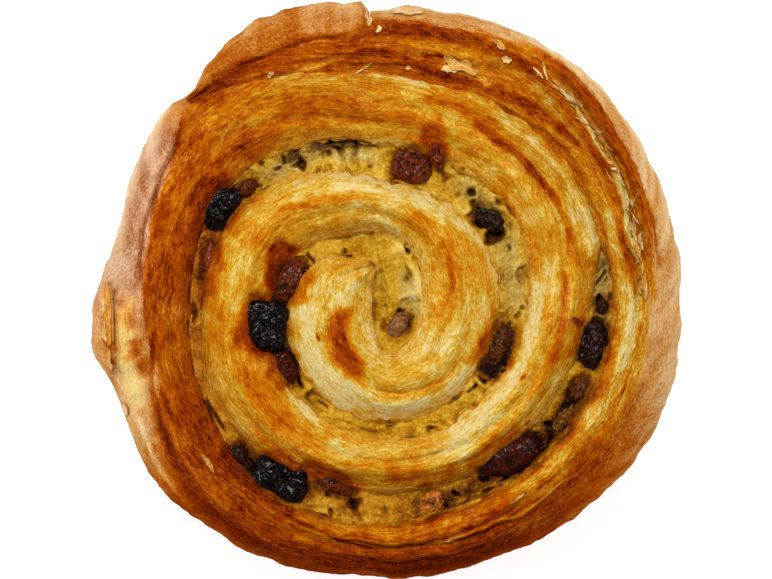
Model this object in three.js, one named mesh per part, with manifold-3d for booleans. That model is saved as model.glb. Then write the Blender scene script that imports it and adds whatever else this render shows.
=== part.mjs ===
// A pain aux raisins: one strip of laminated dough, spread with pastry cream and raisins, rolled up, sliced and
// baked lying on its cut face. Seen from above the strip winds out anticlockwise from a tongue at the middle.
// Millimetres, +Z up. The origin is the middle of the footprint, on the surface that the pastry stands on.
// Angles are degrees, anticlockwise from +X round the roll's centre. They count on past 360 from turn to turn.
import * as THREE from 'three';
import { mergeVertices } from 'three/addons/utils/BufferGeometryUtils.js';
import Module from 'manifold-3d';

const wasm = await Module();
wasm.setup();

// ---- Driving dimensions ----

const rollCentre = new THREE.Vector2(1.1, -2.8); // where the strip winds from

const tongueAngle = 105;    // the strip's inner end
const outsideAngle = 858;   // from here on the strip's outer face is the pastry's side
const tailAngle = 1215;     // the strip's outer end

// The seam between one turn and the next: [angle, radius, half the gap between the two faces of dough].
const seam = [
  [105, 11.3, 2.7], [125, 13.2, 2.2], [152, 18.2, 1.5], [170, 20.0, 1.3], [210, 22.3, 1.3], [255, 23.4, 1.1],
  [285, 23.2, 1.5],
  [315, 22.1, 1.4], [345, 21.9, 2.0], [390, 24.2, 3.1], [450, 26.2, 3.0], [480, 31.6, 2.7], [510, 35.7, 1.6],
  [540, 36.6, 0.9], [570, 38.3, 0.9], [600, 38.9, 2.0], [630, 37.8, 2.4], [660, 37.0, 2.0], [700, 37.6, 2.1],
  [720, 39.1, 1.6], [740, 40.4, -0.4], [780, 41.3, -0.6], [810, 42.6, -0.6], [835, 46.5, -0.6], [858, 54.3, -0.6],
];
// The pocket of cream inside the first turn: [angle, radius], from the tongue's tip right round to the seam.
const pocket = [
  [105, 8.6], [121, 6.5], [142, 4.5], [180, 3.5], [218, 4.4], [244, 6.6], [258, 8.4], [270, 8.9], [299, 7.2],
  [330, 5.4], [370, 5.2], [397, 6.4], [420, 9.0], [436, 11.2], [465, 14.0],
];
// The pastry's outline at its widest height: [angle, radius].
const outline = [
  [0, 54.3], [15, 54.9], [30, 55.7], [45, 56.6], [60, 56.7], [75, 56.6], [90, 56.2], [96, 56.2], [100, 57.6],
  [106, 58.6], [114, 59.4], [120, 58.8], [127, 57.0], [134, 56.0], [140, 56.4], [150, 54.9], [165, 53.4],
  [175, 55.1], [187, 57.0], [196, 54.7], [205, 54.9], [218, 55.6], [230, 54.5], [245, 53.4], [260, 51.6], [275, 51.4],
  [290, 51.3], [305, 52.6], [320, 53.5], [335, 54.9], [350, 54.7], [360, 54.3],
];
// The shoulder, where the cut face ends and the rolled side begins: [angle, radius].
const shoulderLine = [
  [844, 51.0], [858, 51.3], [870, 48.9], [890, 47.4], [915, 46.6], [935, 50.0], [970, 50.2], [1020, 49.4],
  [1080, 48.9], [1100, 50.0], [1120, 52.2], [1140, 53.4], [1177, 51.9], [1190, 52.3], [1215, 54.4],
];
// How high the ridge of the dough stands along the strip: [angle, height].
const crest = [
  [105, 29.0], [135, 32.5], [170, 34.0], [300, 33.4], [500, 33.0], [700, 32.2], [858, 31.0], [1000, 30.2],
  [1150, 29.2], [1215, 27.0],
];

// Long hollows where the layers have come apart in the dough's face, and flakes that stand proud of it. Each runs
// between two angles, through evenly spaced radii, and is as deep as it says in the middle of its width. A depth
// below 0 is a flake.
const relief = [
  { from: 1082, to: 1150, radii: [46.8, 46.6, 48.6, 50.2, 52.4], halfWidth: 2.2, depth: 1.3 },
  { from: 1128, to: 1152, radii: [47.0, 47.8, 48.2], halfWidth: 2.8, depth: 1.2 },
  { from: 1088, to: 1146, radii: [44.6, 44.0, 45.4, 45.6], halfWidth: 1.6, depth: -0.8 },
  { from: 1154, to: 1190, radii: [43.4, 43.4, 44.8], halfWidth: 1.9, depth: 1.2 },
  { from: 1168, to: 1210, radii: [55.4, 56.2, 55.0], halfWidth: 2.8, depth: -0.9 },
  { from: 968, to: 1062, radii: [45.6, 44.8, 45.0, 46.4, 47.6], halfWidth: 1.7, depth: 0.8 },
  { from: 893, to: 918, radii: [49.4, 50.4, 50.8], halfWidth: 3.4, depth: 1.2 },
  { from: 386, to: 432, radii: [17.4, 17.0, 17.6], halfWidth: 2.4, depth: -0.5 },
  { from: 740, to: 790, radii: [36.4, 36.0, 34.8], halfWidth: 1.8, depth: -0.6 },
  { from: 196, to: 236, radii: [13.0, 14.0, 15.2], halfWidth: 3.0, depth: 0.5 },
];

// The raisins that show. Each lies in the seam at an angle and radius, turned in plan from +X, and stands as far
// out of the cream as its last number: [angle, radius, length, width, thickness, turn, rise].
const raisins = [
  [510.3, 37.5, 8.6, 7.0, 6.4, 60, 2.4],
  [501.0, 34.8, 4.0, 2.6, 2.8, 40, 1.2],
  [189.0, 24.0, 9.8, 7.8, 6.8, 85, 2.8],
  [167.0, 18.5, 8.6, 4.6, 5.2, 62, 0.9],
  [210.0, 23.0, 6.8, 3.8, 4.6, 118, 1.2],
  [442.0, 26.0, 7.4, 5.8, 5.6, -10, 1.6],
  [434.2, 29.7, 6.2, 2.6, 3.4, 100, 2.6],
  [401.0, 24.4, 5.6, 3.8, 4.2, -25, 0.6],
  [339.0, 21.3, 10.6, 4.6, 5.2, 68, 0.3],
  [283.0, 4.2, 5.2, 4.2, 4.4, 60, 0.9],
  [708.8, 38.2, 8.8, 5.8, 5.6, 80, 1.8],
  [719.6, 39.2, 3.0, 2.4, 2.6, 80, 0.8],
  [696.0, 38.6, 5.2, 4.0, 4.2, 66, 0.8],
  [686.0, 38.3, 7.6, 3.0, 4.4, 54, 0.0],
  [667.5, 35.2, 13.2, 6.6, 6.4, 22, 2.2],
  [641.0, 37.7, 5.2, 4.4, 4.4, 20, 1.0],
  [597.2, 38.6, 10.6, 8.2, 7.0, -15, 2.8],
  [585.8, 40.6, 7.0, 3.6, 4.6, 116, 1.6],
  [611.0, 34.6, 8.4, 4.0, 4.6, -35, 0.9],
  [526.8, 35.0, 9.4, 2.8, 4.0, 82, 0.8],
];

const seamDrop = 4.6;      // how far the face falls from its ridge to an open seam
const closedDrop = 1.2;    // to a seam that is baked shut
const shoulderDrop = 5.4;  // and to the shoulder
const bellyHeight = 11;    // height of the widest point of the side
const footInset = 3.0;     // how far the side pulls in under the belly
const tailPress = 1.2;     // how far the strip's outer end is pressed in against the turn inside it
const layerRelief = 0.45;  // height of the layers that show as ridges along the face
const creamBelowRidge = 4.2;
const creamMargin = 0.6;   // how far the cream is spread past the gap before it's trimmed
const clearance = 0.3;     // between cream and dough
const raisinBed = 0.35;    // how much wider than its raisin a hollow for one is
const largeRaisin = 8.7;   // raisins longer than this get finer facets
const smallRaisin = 5.5;   // and shorter ones than this get coarser ones

const sliver = 0.05;       // facets thinner than this are merged with their neighbours
const doughStep = 4.4;     // length of one step along the strip
const creamStep = 4.8;
const faceColumns = 11;    // columns of facets across the cut face
const sideColumns = 5;     // and down an open side

// ---- Reading the tables ----

// The smooth curve through a table's rows, read at one angle.
function read(rows, angle, column = 1) {
  let i = 0;
  while (i < rows.length - 2 && angle > rows[i + 1][0]) i++;
  const before = rows[Math.max(i - 1, 0)];
  const [from, to] = [rows[i], rows[i + 1]];
  const after = rows[Math.min(i + 2, rows.length - 1)];
  const span = to[0] - from[0];
  const startSlope = (to[column] - before[column]) / (to[0] - before[0]) * span;
  const endSlope = (after[column] - from[column]) / (after[0] - from[0]) * span;
  const t = THREE.MathUtils.clamp((angle - from[0]) / span, 0, 1);
  const rise = to[column] - from[column];
  return from[column] + t * (startSlope + t * (3 * rise - 2 * startSlope - endSlope
    + t * (startSlope + endSlope - 2 * rise)));
}

const outlineRadius = (angle) => read(outline, THREE.MathUtils.euclideanModulo(angle, 360));
const seamRadius = (angle) => read(seam, angle);
const halfGap = (angle) => read(seam, angle, 2);
const cosDegrees = (angle) => Math.cos(THREE.MathUtils.degToRad(angle));
const sinDegrees = (angle) => Math.sin(THREE.MathUtils.degToRad(angle));

// 0 before the outer face of the strip is the pastry's side, and 1 after.
const openness = (angle) => THREE.MathUtils.smoothstep(angle, outsideAngle - 14, outsideAngle + 8);

function innerRadius(angle) {
  const lastOfPocket = pocket[pocket.length - 1][0];
  if (angle < lastOfPocket) return read(pocket, angle);
  return seamRadius(angle - 360) + halfGap(angle - 360);
}

function outerRadius(angle) {
  const tongueTip = read(pocket, tongueAngle);
  const atSeam = angle < outsideAngle ? seamRadius(angle) - halfGap(angle) : seamRadius(outsideAngle);
  const pressedIn = tailPress * THREE.MathUtils.smoothstep(angle, tailAngle - 9, tailAngle);
  return THREE.MathUtils.lerp(Math.max(atSeam, tongueTip + 0.1), outlineRadius(angle), openness(angle)) - pressedIn;
}

// Height of both edges of dough at the seam outside an angle.
function seamHeight(angle) {
  const shut = 1 - THREE.MathUtils.smoothstep(halfGap(angle), -0.3, 0.9);
  const lower = Math.min(read(crest, angle), read(crest, angle + 360));
  return lower - THREE.MathUtils.lerp(seamDrop, closedDrop, shut);
}

// ---- The dough ----

// Ridges of the laminated layers. They run along the strip and drift slowly across it.
function layers(angle, across) {
  const drift = 0.35 * sinDegrees(angle * 0.7) + 0.2 * sinDegrees(angle * 1.9 + 40);
  const ridges = Math.sin(2 * Math.PI * (3.1 * across + drift)) + 0.5 * sinDegrees(angle * 3.3);
  return layerRelief * ridges * Math.sin(Math.PI * across);
}

// How far hollows and flakes lower the face at an angle and radius.
function hollowed(angle, radius) {
  let total = 0;
  for (const { from, to, radii, halfWidth, depth } of relief) {
    const along = (angle - from) / (to - from);
    if (along < 0 || along > 1) continue;
    const place = along * (radii.length - 1);
    const i = Math.min(Math.floor(place), radii.length - 2);
    const off = Math.abs(radius - THREE.MathUtils.lerp(radii[i], radii[i + 1], place - i)) / halfWidth;
    const ends = THREE.MathUtils.smoothstep(Math.min(along, 1 - along), 0, 0.2);
    total += depth * ends * (1 - THREE.MathUtils.smoothstep(off, 0.2, 1));
  }
  return total;
}

// Height of the cut face, across the strip from 0 at its inner edge to 1 at its outer edge.
function faceHeight(angle, across) {
  const open = openness(angle);
  const lastOfPocket = pocket[pocket.length - 1][0];
  const pastPocket = THREE.MathUtils.smoothstep(angle, lastOfPocket, lastOfPocket + 45);
  const ridge = read(crest, angle);
  const ridgeAt = THREE.MathUtils.lerp(0.5, 0.36, open);
  const innerEdge = THREE.MathUtils.lerp(ridge - seamDrop, seamHeight(angle - 360), pastPocket);
  const outerEdge = THREE.MathUtils.lerp(seamHeight(Math.min(angle, outsideAngle)), ridge - shoulderDrop, open);
  const fall = across < ridgeAt
    ? (ridge - innerEdge) * (1 - across / ridgeAt) ** 2.2
    : (ridge - outerEdge) * ((across - ridgeAt) / (1 - ridgeAt)) ** 2.2;
  return ridge - fall + layers(angle, across);
}

// The strip's cross-section at an angle, as [radius, height] points: up the inner wall, over the face, down the
// outer wall or side, and back along the base.
function doughSection(angle, thickening) {
  const open = openness(angle);
  const [inner, outer] = [innerRadius(angle) - thickening, outerRadius(angle) + thickening];
  const base = -thickening;
  const shoulder = THREE.MathUtils.lerp(outer, Math.min(read(shoulderLine, angle), outer - 0.5), open);
  const points = [[inner, base], [inner, 0.5 * faceHeight(angle, 0)]];
  for (let i = 0; i <= faceColumns; i++) {
    const across = i / faceColumns;
    const radius = THREE.MathUtils.lerp(inner, shoulder, across);
    points.push([radius, faceHeight(angle, across) - hollowed(angle, radius) + thickening]);
  }
  const shoulderHeight = faceHeight(angle, 1) + thickening;
  for (let i = 1; i <= sideColumns; i++) {
    const down = i / sideColumns;
    const height = THREE.MathUtils.lerp(shoulderHeight, base, down);
    const above = height > bellyHeight;
    const off = Math.abs(height - bellyHeight) / ((above ? shoulderHeight : base) - bellyHeight);
    const inset = above ? (outer - shoulder) * Math.abs(off) ** 2.4 : footInset * Math.abs(off) ** 2.4 * open;
    points.push([outer - inset, height]);
  }
  const foot = outer - footInset * open;
  points.push([THREE.MathUtils.lerp(foot, inner, 1 / 3), base], [THREE.MathUtils.lerp(foot, inner, 2 / 3), base]);
  return points;
}

// ---- Winding a bar into a coil ----

// Evenly spaced stations from one angle to another, a given length apart along a curve of known radius.
function stations(from, to, step, radiusAt) {
  const angles = [from];
  while (angles[angles.length - 1] < to) {
    const last = angles[angles.length - 1];
    angles.push(last + THREE.MathUtils.radToDeg(step / Math.max(radiusAt(last), 6)));
  }
  const stretch = (to - from) / (angles[angles.length - 1] - from);
  return angles.map((angle) => from + (angle - from) * stretch);
}

// A straight bar with capped ends, wound so that its ring of vertices at each station lies on that section.
function windBar(angles, section) {
  const rings = angles.map(section);
  const sides = rings[0].length;
  const bar = new THREE.CylinderGeometry(1, 1, 1, sides, angles.length - 1);
  const position = bar.getAttribute('position');
  const vertex = new THREE.Vector3();
  for (let i = 0; i < position.count; i++) {
    vertex.fromBufferAttribute(position, i);
    const station = Math.round((0.5 - vertex.y) * (angles.length - 1));
    const ring = rings[station];
    const onAxis = Math.hypot(vertex.x, vertex.z) < 0.5;
    const turned = THREE.MathUtils.euclideanModulo(Math.atan2(-vertex.x, vertex.z) / (2 * Math.PI), 1);
    const [radius, height] = onAxis ? middle(ring) : ring[Math.round(turned * sides) % sides];
    position.setXYZ(i, rollCentre.x + radius * cosDegrees(angles[station]),
      rollCentre.y + radius * sinDegrees(angles[station]), height);
  }
  return bar;
}

function middle(ring) {
  const sum = ring.reduce(([r, z], [radius, height]) => [r + radius, z + height], [0, 0]);
  return sum.map((total) => total / ring.length);
}

// ---- Joining and cutting ----

function solid(geometry) {
  const bare = geometry.clone();
  bare.deleteAttribute('normal');
  bare.deleteAttribute('uv');
  const merged = mergeVertices(bare, 1e-4);
  return new wasm.Manifold(new wasm.Mesh({
    numProp: 3,
    vertProperties: merged.getAttribute('position').array,
    triVerts: new Uint32Array(merged.index.array),
  }));
}

// The largest piece of a solid, without the loose scraps and the slivers that joining and cutting leave.
function mainPiece(made) {
  const largest = made.decompose().reduce((best, piece) => (piece.volume() > best.volume() ? piece : best));
  return largest.asOriginal().simplify(sliver);
}

function geometryOf(made) {
  const { numProp, numVert, vertProperties, triVerts } = made.getMesh();
  const points = new Float32Array(numVert * 3);
  for (let i = 0; i < numVert; i++) points.set(vertProperties.subarray(i * numProp, i * numProp + 3), i * 3);
  const geometry = new THREE.BufferGeometry();
  geometry.setAttribute('position', new THREE.BufferAttribute(points, 3));
  geometry.setIndex(new THREE.BufferAttribute(new Uint32Array(triVerts), 1));
  return geometry;
}

// The whole strip, thickened by a given amount where a tool to cut its neighbours is wanted.
function doughSolid(thickening = 0) {
  const splitAngle = 950;
  const overlap = 12;
  const section = (angle) => doughSection(angle, thickening);
  const inside = stations(tongueAngle, splitAngle + overlap, doughStep, outerRadius);
  const outside = stations(splitAngle, tailAngle, doughStep, outerRadius);
  return mainPiece(solid(windBar(inside, section)).add(solid(windBar(outside, section))));
}

// ---- The pastry cream ----

const creamHeight = (angle) => read(crest, angle + 180) - creamBelowRidge + 0.5 * sinDegrees(angle * 4.7)
  + 0.35 * sinDegrees(angle * 11);

function creamSection(angle) {
  const centre = seamRadius(angle);
  const half = halfGap(angle) + creamMargin;
  const top = creamHeight(angle);
  return [
    [centre - half, 0], [centre - half, top - 1.1], [centre - 0.4 * half, top], [centre + 0.3 * half, top + 0.2],
    [centre + half, top - 1.0], [centre + half, 0],
  ];
}

// The cream that fills the middle of the roll: a stub of cylinder whose rim follows the pocket.
function pocketGeometry() {
  const sides = 24;
  const stub = new THREE.CylinderGeometry(1, 1, 1, sides, 1).rotateX(Math.PI / 2);
  const position = stub.getAttribute('position');
  const top = creamHeight(tongueAngle) - 1.4;
  for (let i = 0; i < position.count; i++) {
    const [x, y, z] = [position.getX(i), position.getY(i), position.getZ(i)];
    const turned = THREE.MathUtils.radToDeg(Math.atan2(y, x));
    const angle = tongueAngle + THREE.MathUtils.euclideanModulo(turned - tongueAngle, 360);
    const radius = Math.hypot(x, y) * (read(pocket, angle) + creamMargin);
    position.setXYZ(i, rollCentre.x + radius * cosDegrees(angle), rollCentre.y + radius * sinDegrees(angle),
      z > 0 ? top : 0);
  }
  return stub;
}

// Cream spread a little too wide, then trimmed to the gap that the dough leaves.
function creamSolid() {
  const creamEnds = 730;
  const angles = stations(tongueAngle - 12, creamEnds, creamStep, seamRadius);
  const spread = solid(windBar(angles, creamSection)).add(solid(pocketGeometry()));
  return mainPiece(spread.subtract(doughSolid(clearance)));
}

// ---- The raisins ----

// A raisin's surface on the unit sphere: blunt at its corners, and drawn in by wrinkles that differ from one to
// the next.
function shrivel(point, seed) {
  const { x, y, z } = point;
  const blunt = (x ** 4 + y ** 4 + z ** 4) ** -0.12;
  const folds = Math.abs(Math.sin(4.1 * x + 2.3 * Math.sin(3 * z + seed) + seed))
    + Math.abs(Math.sin(5.3 * y - 1.7 * Math.sin(4 * x - seed) + 2 * seed));
  return point.multiplyScalar(Math.min(blunt, 1.12) / 1.12 * (1 - 0.1 * (1 - folds / 2)));
}

// The shape of a raisin, or with a margin the plain hollow that it lies in.
function raisinGeometry([angle, radius, length, width, thickness, turn, rise], index, margin = 0) {
  const fineness = 1 + Number(length > smallRaisin) + Number(length > largeRaisin);
  const geometry = new THREE.IcosahedronGeometry(1, margin ? 1 : fineness);
  const position = geometry.getAttribute('position');
  const point = new THREE.Vector3();
  const bulge = margin ? 1.04 : 1; // a coarse hollow's facets cut inside its round
  for (let i = 0; i < position.count; i++) {
    point.fromBufferAttribute(position, i).normalize();
    if (!margin) shrivel(point, index);
    position.setXYZ(i, point.x * (length / 2 + margin) * bulge, point.y * (width / 2 + margin) * bulge,
      point.z * (thickness / 2 + margin) * bulge);
  }
  geometry.rotateZ(THREE.MathUtils.degToRad(turn));
  return geometry.translate(rollCentre.x + radius * cosDegrees(angle), rollCentre.y + radius * sinDegrees(angle),
    creamHeight(angle) + rise - thickness / 2);
}

const hollows = raisins.map((row, index) => solid(raisinGeometry(row, index, raisinBed)))
  .reduce((all, one) => all.add(one));

// ---- The pastry ----

const materials = {
  dough: new THREE.MeshStandardMaterial({ color: 0xc8842e, roughness: 0.5, metalness: 0 }),
  cream: new THREE.MeshStandardMaterial({ color: 0xc7a238, roughness: 0.6, metalness: 0 }),
  raisin: new THREE.MeshStandardMaterial({ color: 0x2b1410, roughness: 0.35, metalness: 0 }),
};

const pastry = new THREE.Group();

function addPiece(name, geometry, material) {
  const piece = new THREE.Mesh(geometry, material);
  piece.name = name;
  pastry.add(piece);
}

addPiece('dough', geometryOf(mainPiece(doughSolid().subtract(hollows))), materials.dough);
addPiece('pastry_cream', geometryOf(mainPiece(creamSolid().subtract(hollows))), materials.cream);
raisins.forEach((row, index) => {
  addPiece(`raisin_${String(index + 1).padStart(2, '0')}`, raisinGeometry(row, index), materials.raisin);
});

export default pastry;
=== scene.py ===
import math
from functools import partialmethod

import bmesh
import bpy
import numpy as np
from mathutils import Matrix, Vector, noise


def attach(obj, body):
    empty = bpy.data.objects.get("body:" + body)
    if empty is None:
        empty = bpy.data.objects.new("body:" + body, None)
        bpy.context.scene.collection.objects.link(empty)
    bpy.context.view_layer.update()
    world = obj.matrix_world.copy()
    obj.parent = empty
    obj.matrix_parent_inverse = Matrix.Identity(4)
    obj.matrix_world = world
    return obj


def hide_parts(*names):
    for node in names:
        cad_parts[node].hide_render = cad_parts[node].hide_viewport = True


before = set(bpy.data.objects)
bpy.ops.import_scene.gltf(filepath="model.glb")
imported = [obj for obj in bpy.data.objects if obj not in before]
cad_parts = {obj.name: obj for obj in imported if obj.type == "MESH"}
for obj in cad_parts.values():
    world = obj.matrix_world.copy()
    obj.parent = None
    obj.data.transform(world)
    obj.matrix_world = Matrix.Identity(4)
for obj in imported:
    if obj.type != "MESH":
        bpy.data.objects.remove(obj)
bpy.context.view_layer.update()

# ---- The table, the camera and the light ----
# The pastry lies on a plain white table in a tent of soft white light: a big lamp overhead, one at each side,
# and a pale room all round. The camera looks straight down at it from arm's length.

MM = 0.001
link = bpy.context.collection.objects.link

bpy.ops.mesh.primitive_plane_add(size=4)
table = bpy.context.object
table.name = "table"
table.location.z = -0.02 * MM

table_paint = bpy.data.materials.new("table_paint")
table_paint.use_nodes = True
table_shader = table_paint.node_tree.nodes["Principled BSDF"]
for socket, value in (
        ("Base Color", (0.5, 0.5, 0.5, 1)), ("Roughness", 0.7),
        ("Emission Color", (1, 1, 1, 1)), ("Emission Strength", 0.8)):
    table_shader.inputs[socket].default_value = value
table.data.materials.append(table_paint)

camera_height = 1.2
top_height = 0.028  # where the photograph's scale is read
width_seen = 0.1436  # of the photograph, at that height
camera_data = bpy.data.cameras.new("camera")
camera_data.sensor_width = 36
camera_data.lens = camera_data.sensor_width * (camera_height - top_height) / width_seen
camera = bpy.data.objects.new("camera", camera_data)
camera.location = (0, 0, camera_height)
link(camera)
bpy.context.scene.camera = camera


def add_lamp(name, place, width, power):
    """A square soft lamp that faces the pastry."""
    lamp = bpy.data.lights.new(name, "AREA")
    lamp.size = width
    lamp.energy = power
    carrier = bpy.data.objects.new(name, lamp)
    carrier.location = place
    carrier.rotation_euler = Vector(place).to_track_quat("Z", "Y").to_euler()
    link(carrier)


add_lamp("overhead_lamp", (-0.12, 0.34, 0.9), 0.3, 7.7)
add_lamp("left_lamp", (-0.8, 0.1, 0.4), 0.5, 2.8)
add_lamp("right_lamp", (0.8, 0.2, 0.4), 0.5, 2.8)

room = bpy.data.worlds.new("room")
room.use_nodes = True
glow = room.node_tree.nodes["Background"].inputs
glow["Color"].default_value = (1, 1, 1, 1)
glow["Strength"].default_value = 0.28
bpy.context.scene.world = room
bpy.context.scene.view_settings.view_transform = "Standard"

# ---- The dough ----
# One long strip of laminated yeast dough, rolled up from a tongue at the middle, sliced and baked on one cut
# face. The other shows the layers, brownest on the outer turn. Angles are degrees anticlockwise round the
# roll's centre, and count on past 360 from turn to turn. Sizes are millimetres.

roll_centre = (1.1, -2.8)
tongue_angle = 109  # the strip's inner end
outside_angle = 858  # from here on the strip's outer face is the pastry's side
tail_angle = 1215  # the strip's outer end

# The seam between one turn and the next: angle, radius, half the gap.
seam = np.array([
    (105, 11.3, 2.7), (125, 12.8, 2.6), (152, 18.4, 1.5), (170, 20, 1.3), (210, 22.3, 1.3),
    (255, 23.4, 1.1), (285, 23.2, 1.5), (315, 22.1, 1.4), (345, 21.9, 2), (390, 24.2, 3.1), (450, 26.2, 3),
    (480, 31.6, 2.7), (510, 35.7, 1.6), (540, 36.6, 0.9), (570, 38.3, 0.9), (600, 38.9, 2),
    (630, 37.8, 2.4), (660, 37, 2), (700, 37.6, 2.1), (720, 39.1, 1.6), (740, 40.4, -0.4),
    (780, 41.3, -0.6), (810, 42.6, -0.6), (835, 46.5, -0.6), (858, 54.3, -0.6)])
# The pocket of cream inside the first turn: angle, radius.
pocket = np.array([
    (105, 8.6), (121, 6.5), (142, 4.5), (180, 3.5), (218, 4.4), (244, 6.6), (258, 8.4), (270, 8.9),
    (299, 7.2), (330, 5.4), (370, 5.2), (397, 6.4), (420, 9), (436, 11.2), (465, 14)])
# The outline at its widest height: angle, radius.
outline = np.array([
    (0, 54.3), (15, 54.9), (30, 55.7), (45, 56.6), (60, 56.7), (75, 56.4), (82, 55.9), (86, 56.4),
    (89, 55.9), (91, 55.3), (94.6, 55.2), (95.6, 57.2), (100, 57.6), (106, 58.6), (114, 59.4), (120, 58.8),
    (127, 57), (134, 56), (140, 56.4), (150, 54.9), (165, 53.4), (175, 55.1), (187, 57), (196, 54.7),
    (205, 54.9), (218, 55.6), (230, 54.5), (245, 53.4), (260, 51.6), (275, 51.4), (290, 51.3), (305, 52.6),
    (320, 53.5), (335, 54.9), (350, 54.7), (360, 54.3)])
# How high the ridge of the dough stands along the strip: angle, height.
crest = np.array([
    (105, 29), (135, 32.5), (170, 34), (300, 33.4), (500, 33), (700, 32.2), (858, 31), (1000, 30.2),
    (1150, 29.2), (1215, 27)])

# The shoulder, where the browned skin of the side begins: angle, radius.
shoulder_line = np.array([
    (844, 51.4), (857, 52.3), (861, 50.9), (866, 49.8), (873, 49), (883, 48.2), (892, 47.5), (900, 47),
    (915, 46.6), (925, 48.4), (935, 50), (950, 50.6), (970, 50.2), (995, 49.4), (1020, 49.4), (1065, 48.9),
    (1080, 49.4), (1092, 50.8), (1104, 52.2), (1116, 53.3), (1126, 54.4), (1134, 55.4), (1143, 55),
    (1155, 54), (1166, 53.8), (1171, 53.2), (1179, 51.7), (1187, 52), (1194, 52.6), (1203, 54.8),
    (1215, 54.4)])

seam_drop = 4.6  # how far the face falls from its ridge to an open seam
closed_drop = 1.2  # to a seam that has baked shut
shoulder_drop = 5.4  # and to the shoulder, where the face meets the pastry's side
belly_height = 11  # height of the widest point of the side
foot_inset = 3  # how far the side pulls in under the belly
tail_press = 1.2  # how far the outer end is pressed in against the turn inside it
layer_relief = 0.45  # height of the broad ridges of the layers
tip_drop = 7  # how far the strip's tip dips under the cream
fall_power = 2.2  # how roundly the face falls away from its ridge
belly_power = 2.4  # and how squarely the side bulges
scorch = 0.42  # how much browner the dough is beside a raisin
skin_mottle = 0.17
palest, near_black = 0.06, 0.6   # the least browning, and where more tells less
dough_step = 0.66  # of the mesh along the strip
face_columns = 74  # of faces across the cut face
side_columns = 18  # and down an open side

# How brown the cut face is along the strip, and the side round the pastry: angle, share.
face_bake = np.array([
    (105, 0.24), (200, 0.2), (300, 0.21), (380, 0.26), (425, 0.2), (455, 0.15), (490, 0.3), (575, 0.38),
    (620, 0.34), (660, 0.26), (700, 0.32), (760, 0.34), (820, 0.44), (858, 0.64), (890, 0.72), (935, 0.76),
    (980, 0.74), (1020, 0.7), (1050, 0.57), (1072, 0.38), (1092, 0.43), (1130, 0.53), (1170, 0.7),
    (1215, 0.76)])
side_bake = np.array([
    (0, 0.41), (60, 0.39), (90, 0.48), (100, 0.62), (115, 0.68), (128, 0.7), (140, 0.5), (165, 0.58),
    (180, 0.66), (200, 0.46), (214, 0.68), (228, 0.9), (275, 0.94), (310, 0.84), (330, 0.62), (348, 0.47),
    (360, 0.41)])

# Lines that more than one mark of the outer turn follows: radii at even steps.
proud_ridge = (48.9, 49.5, 49.8, 50.4, 51.2, 52.2, 53, 54.2, 53.9)
proud_edge = (49.7, 50.4, 50.8, 51.3, 52, 53, 53.9, 55, 54.8)
torn_hollow = (47.8, 47.6, 48.1, 49.1, 49.9, 50.3, 51.7, 53.7)
hollow_edge = (47.5, 46.3, 46.1, 47.5, 48.2, 49.1, 50.8, 52.9)
long_ridge = (44.9, 44.4, 44.3, 45.3, 46.3, 47.1, 48.4, 50.5, 51.2, 50.7, 50.8)
low_ridge = (45.1, 45.2, 45.1, 44.5, 43.9, 43.8, 44.4)
left_edge = (52.6, 50, 49, 48.3, 47.9, 47.3)
small_hollow = (46.9, 47.8, 48.4, 48.6, 47.9, 47)
top_ridge = (43, 43.6, 45.2, 47, 47.9, 46.7)

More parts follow.
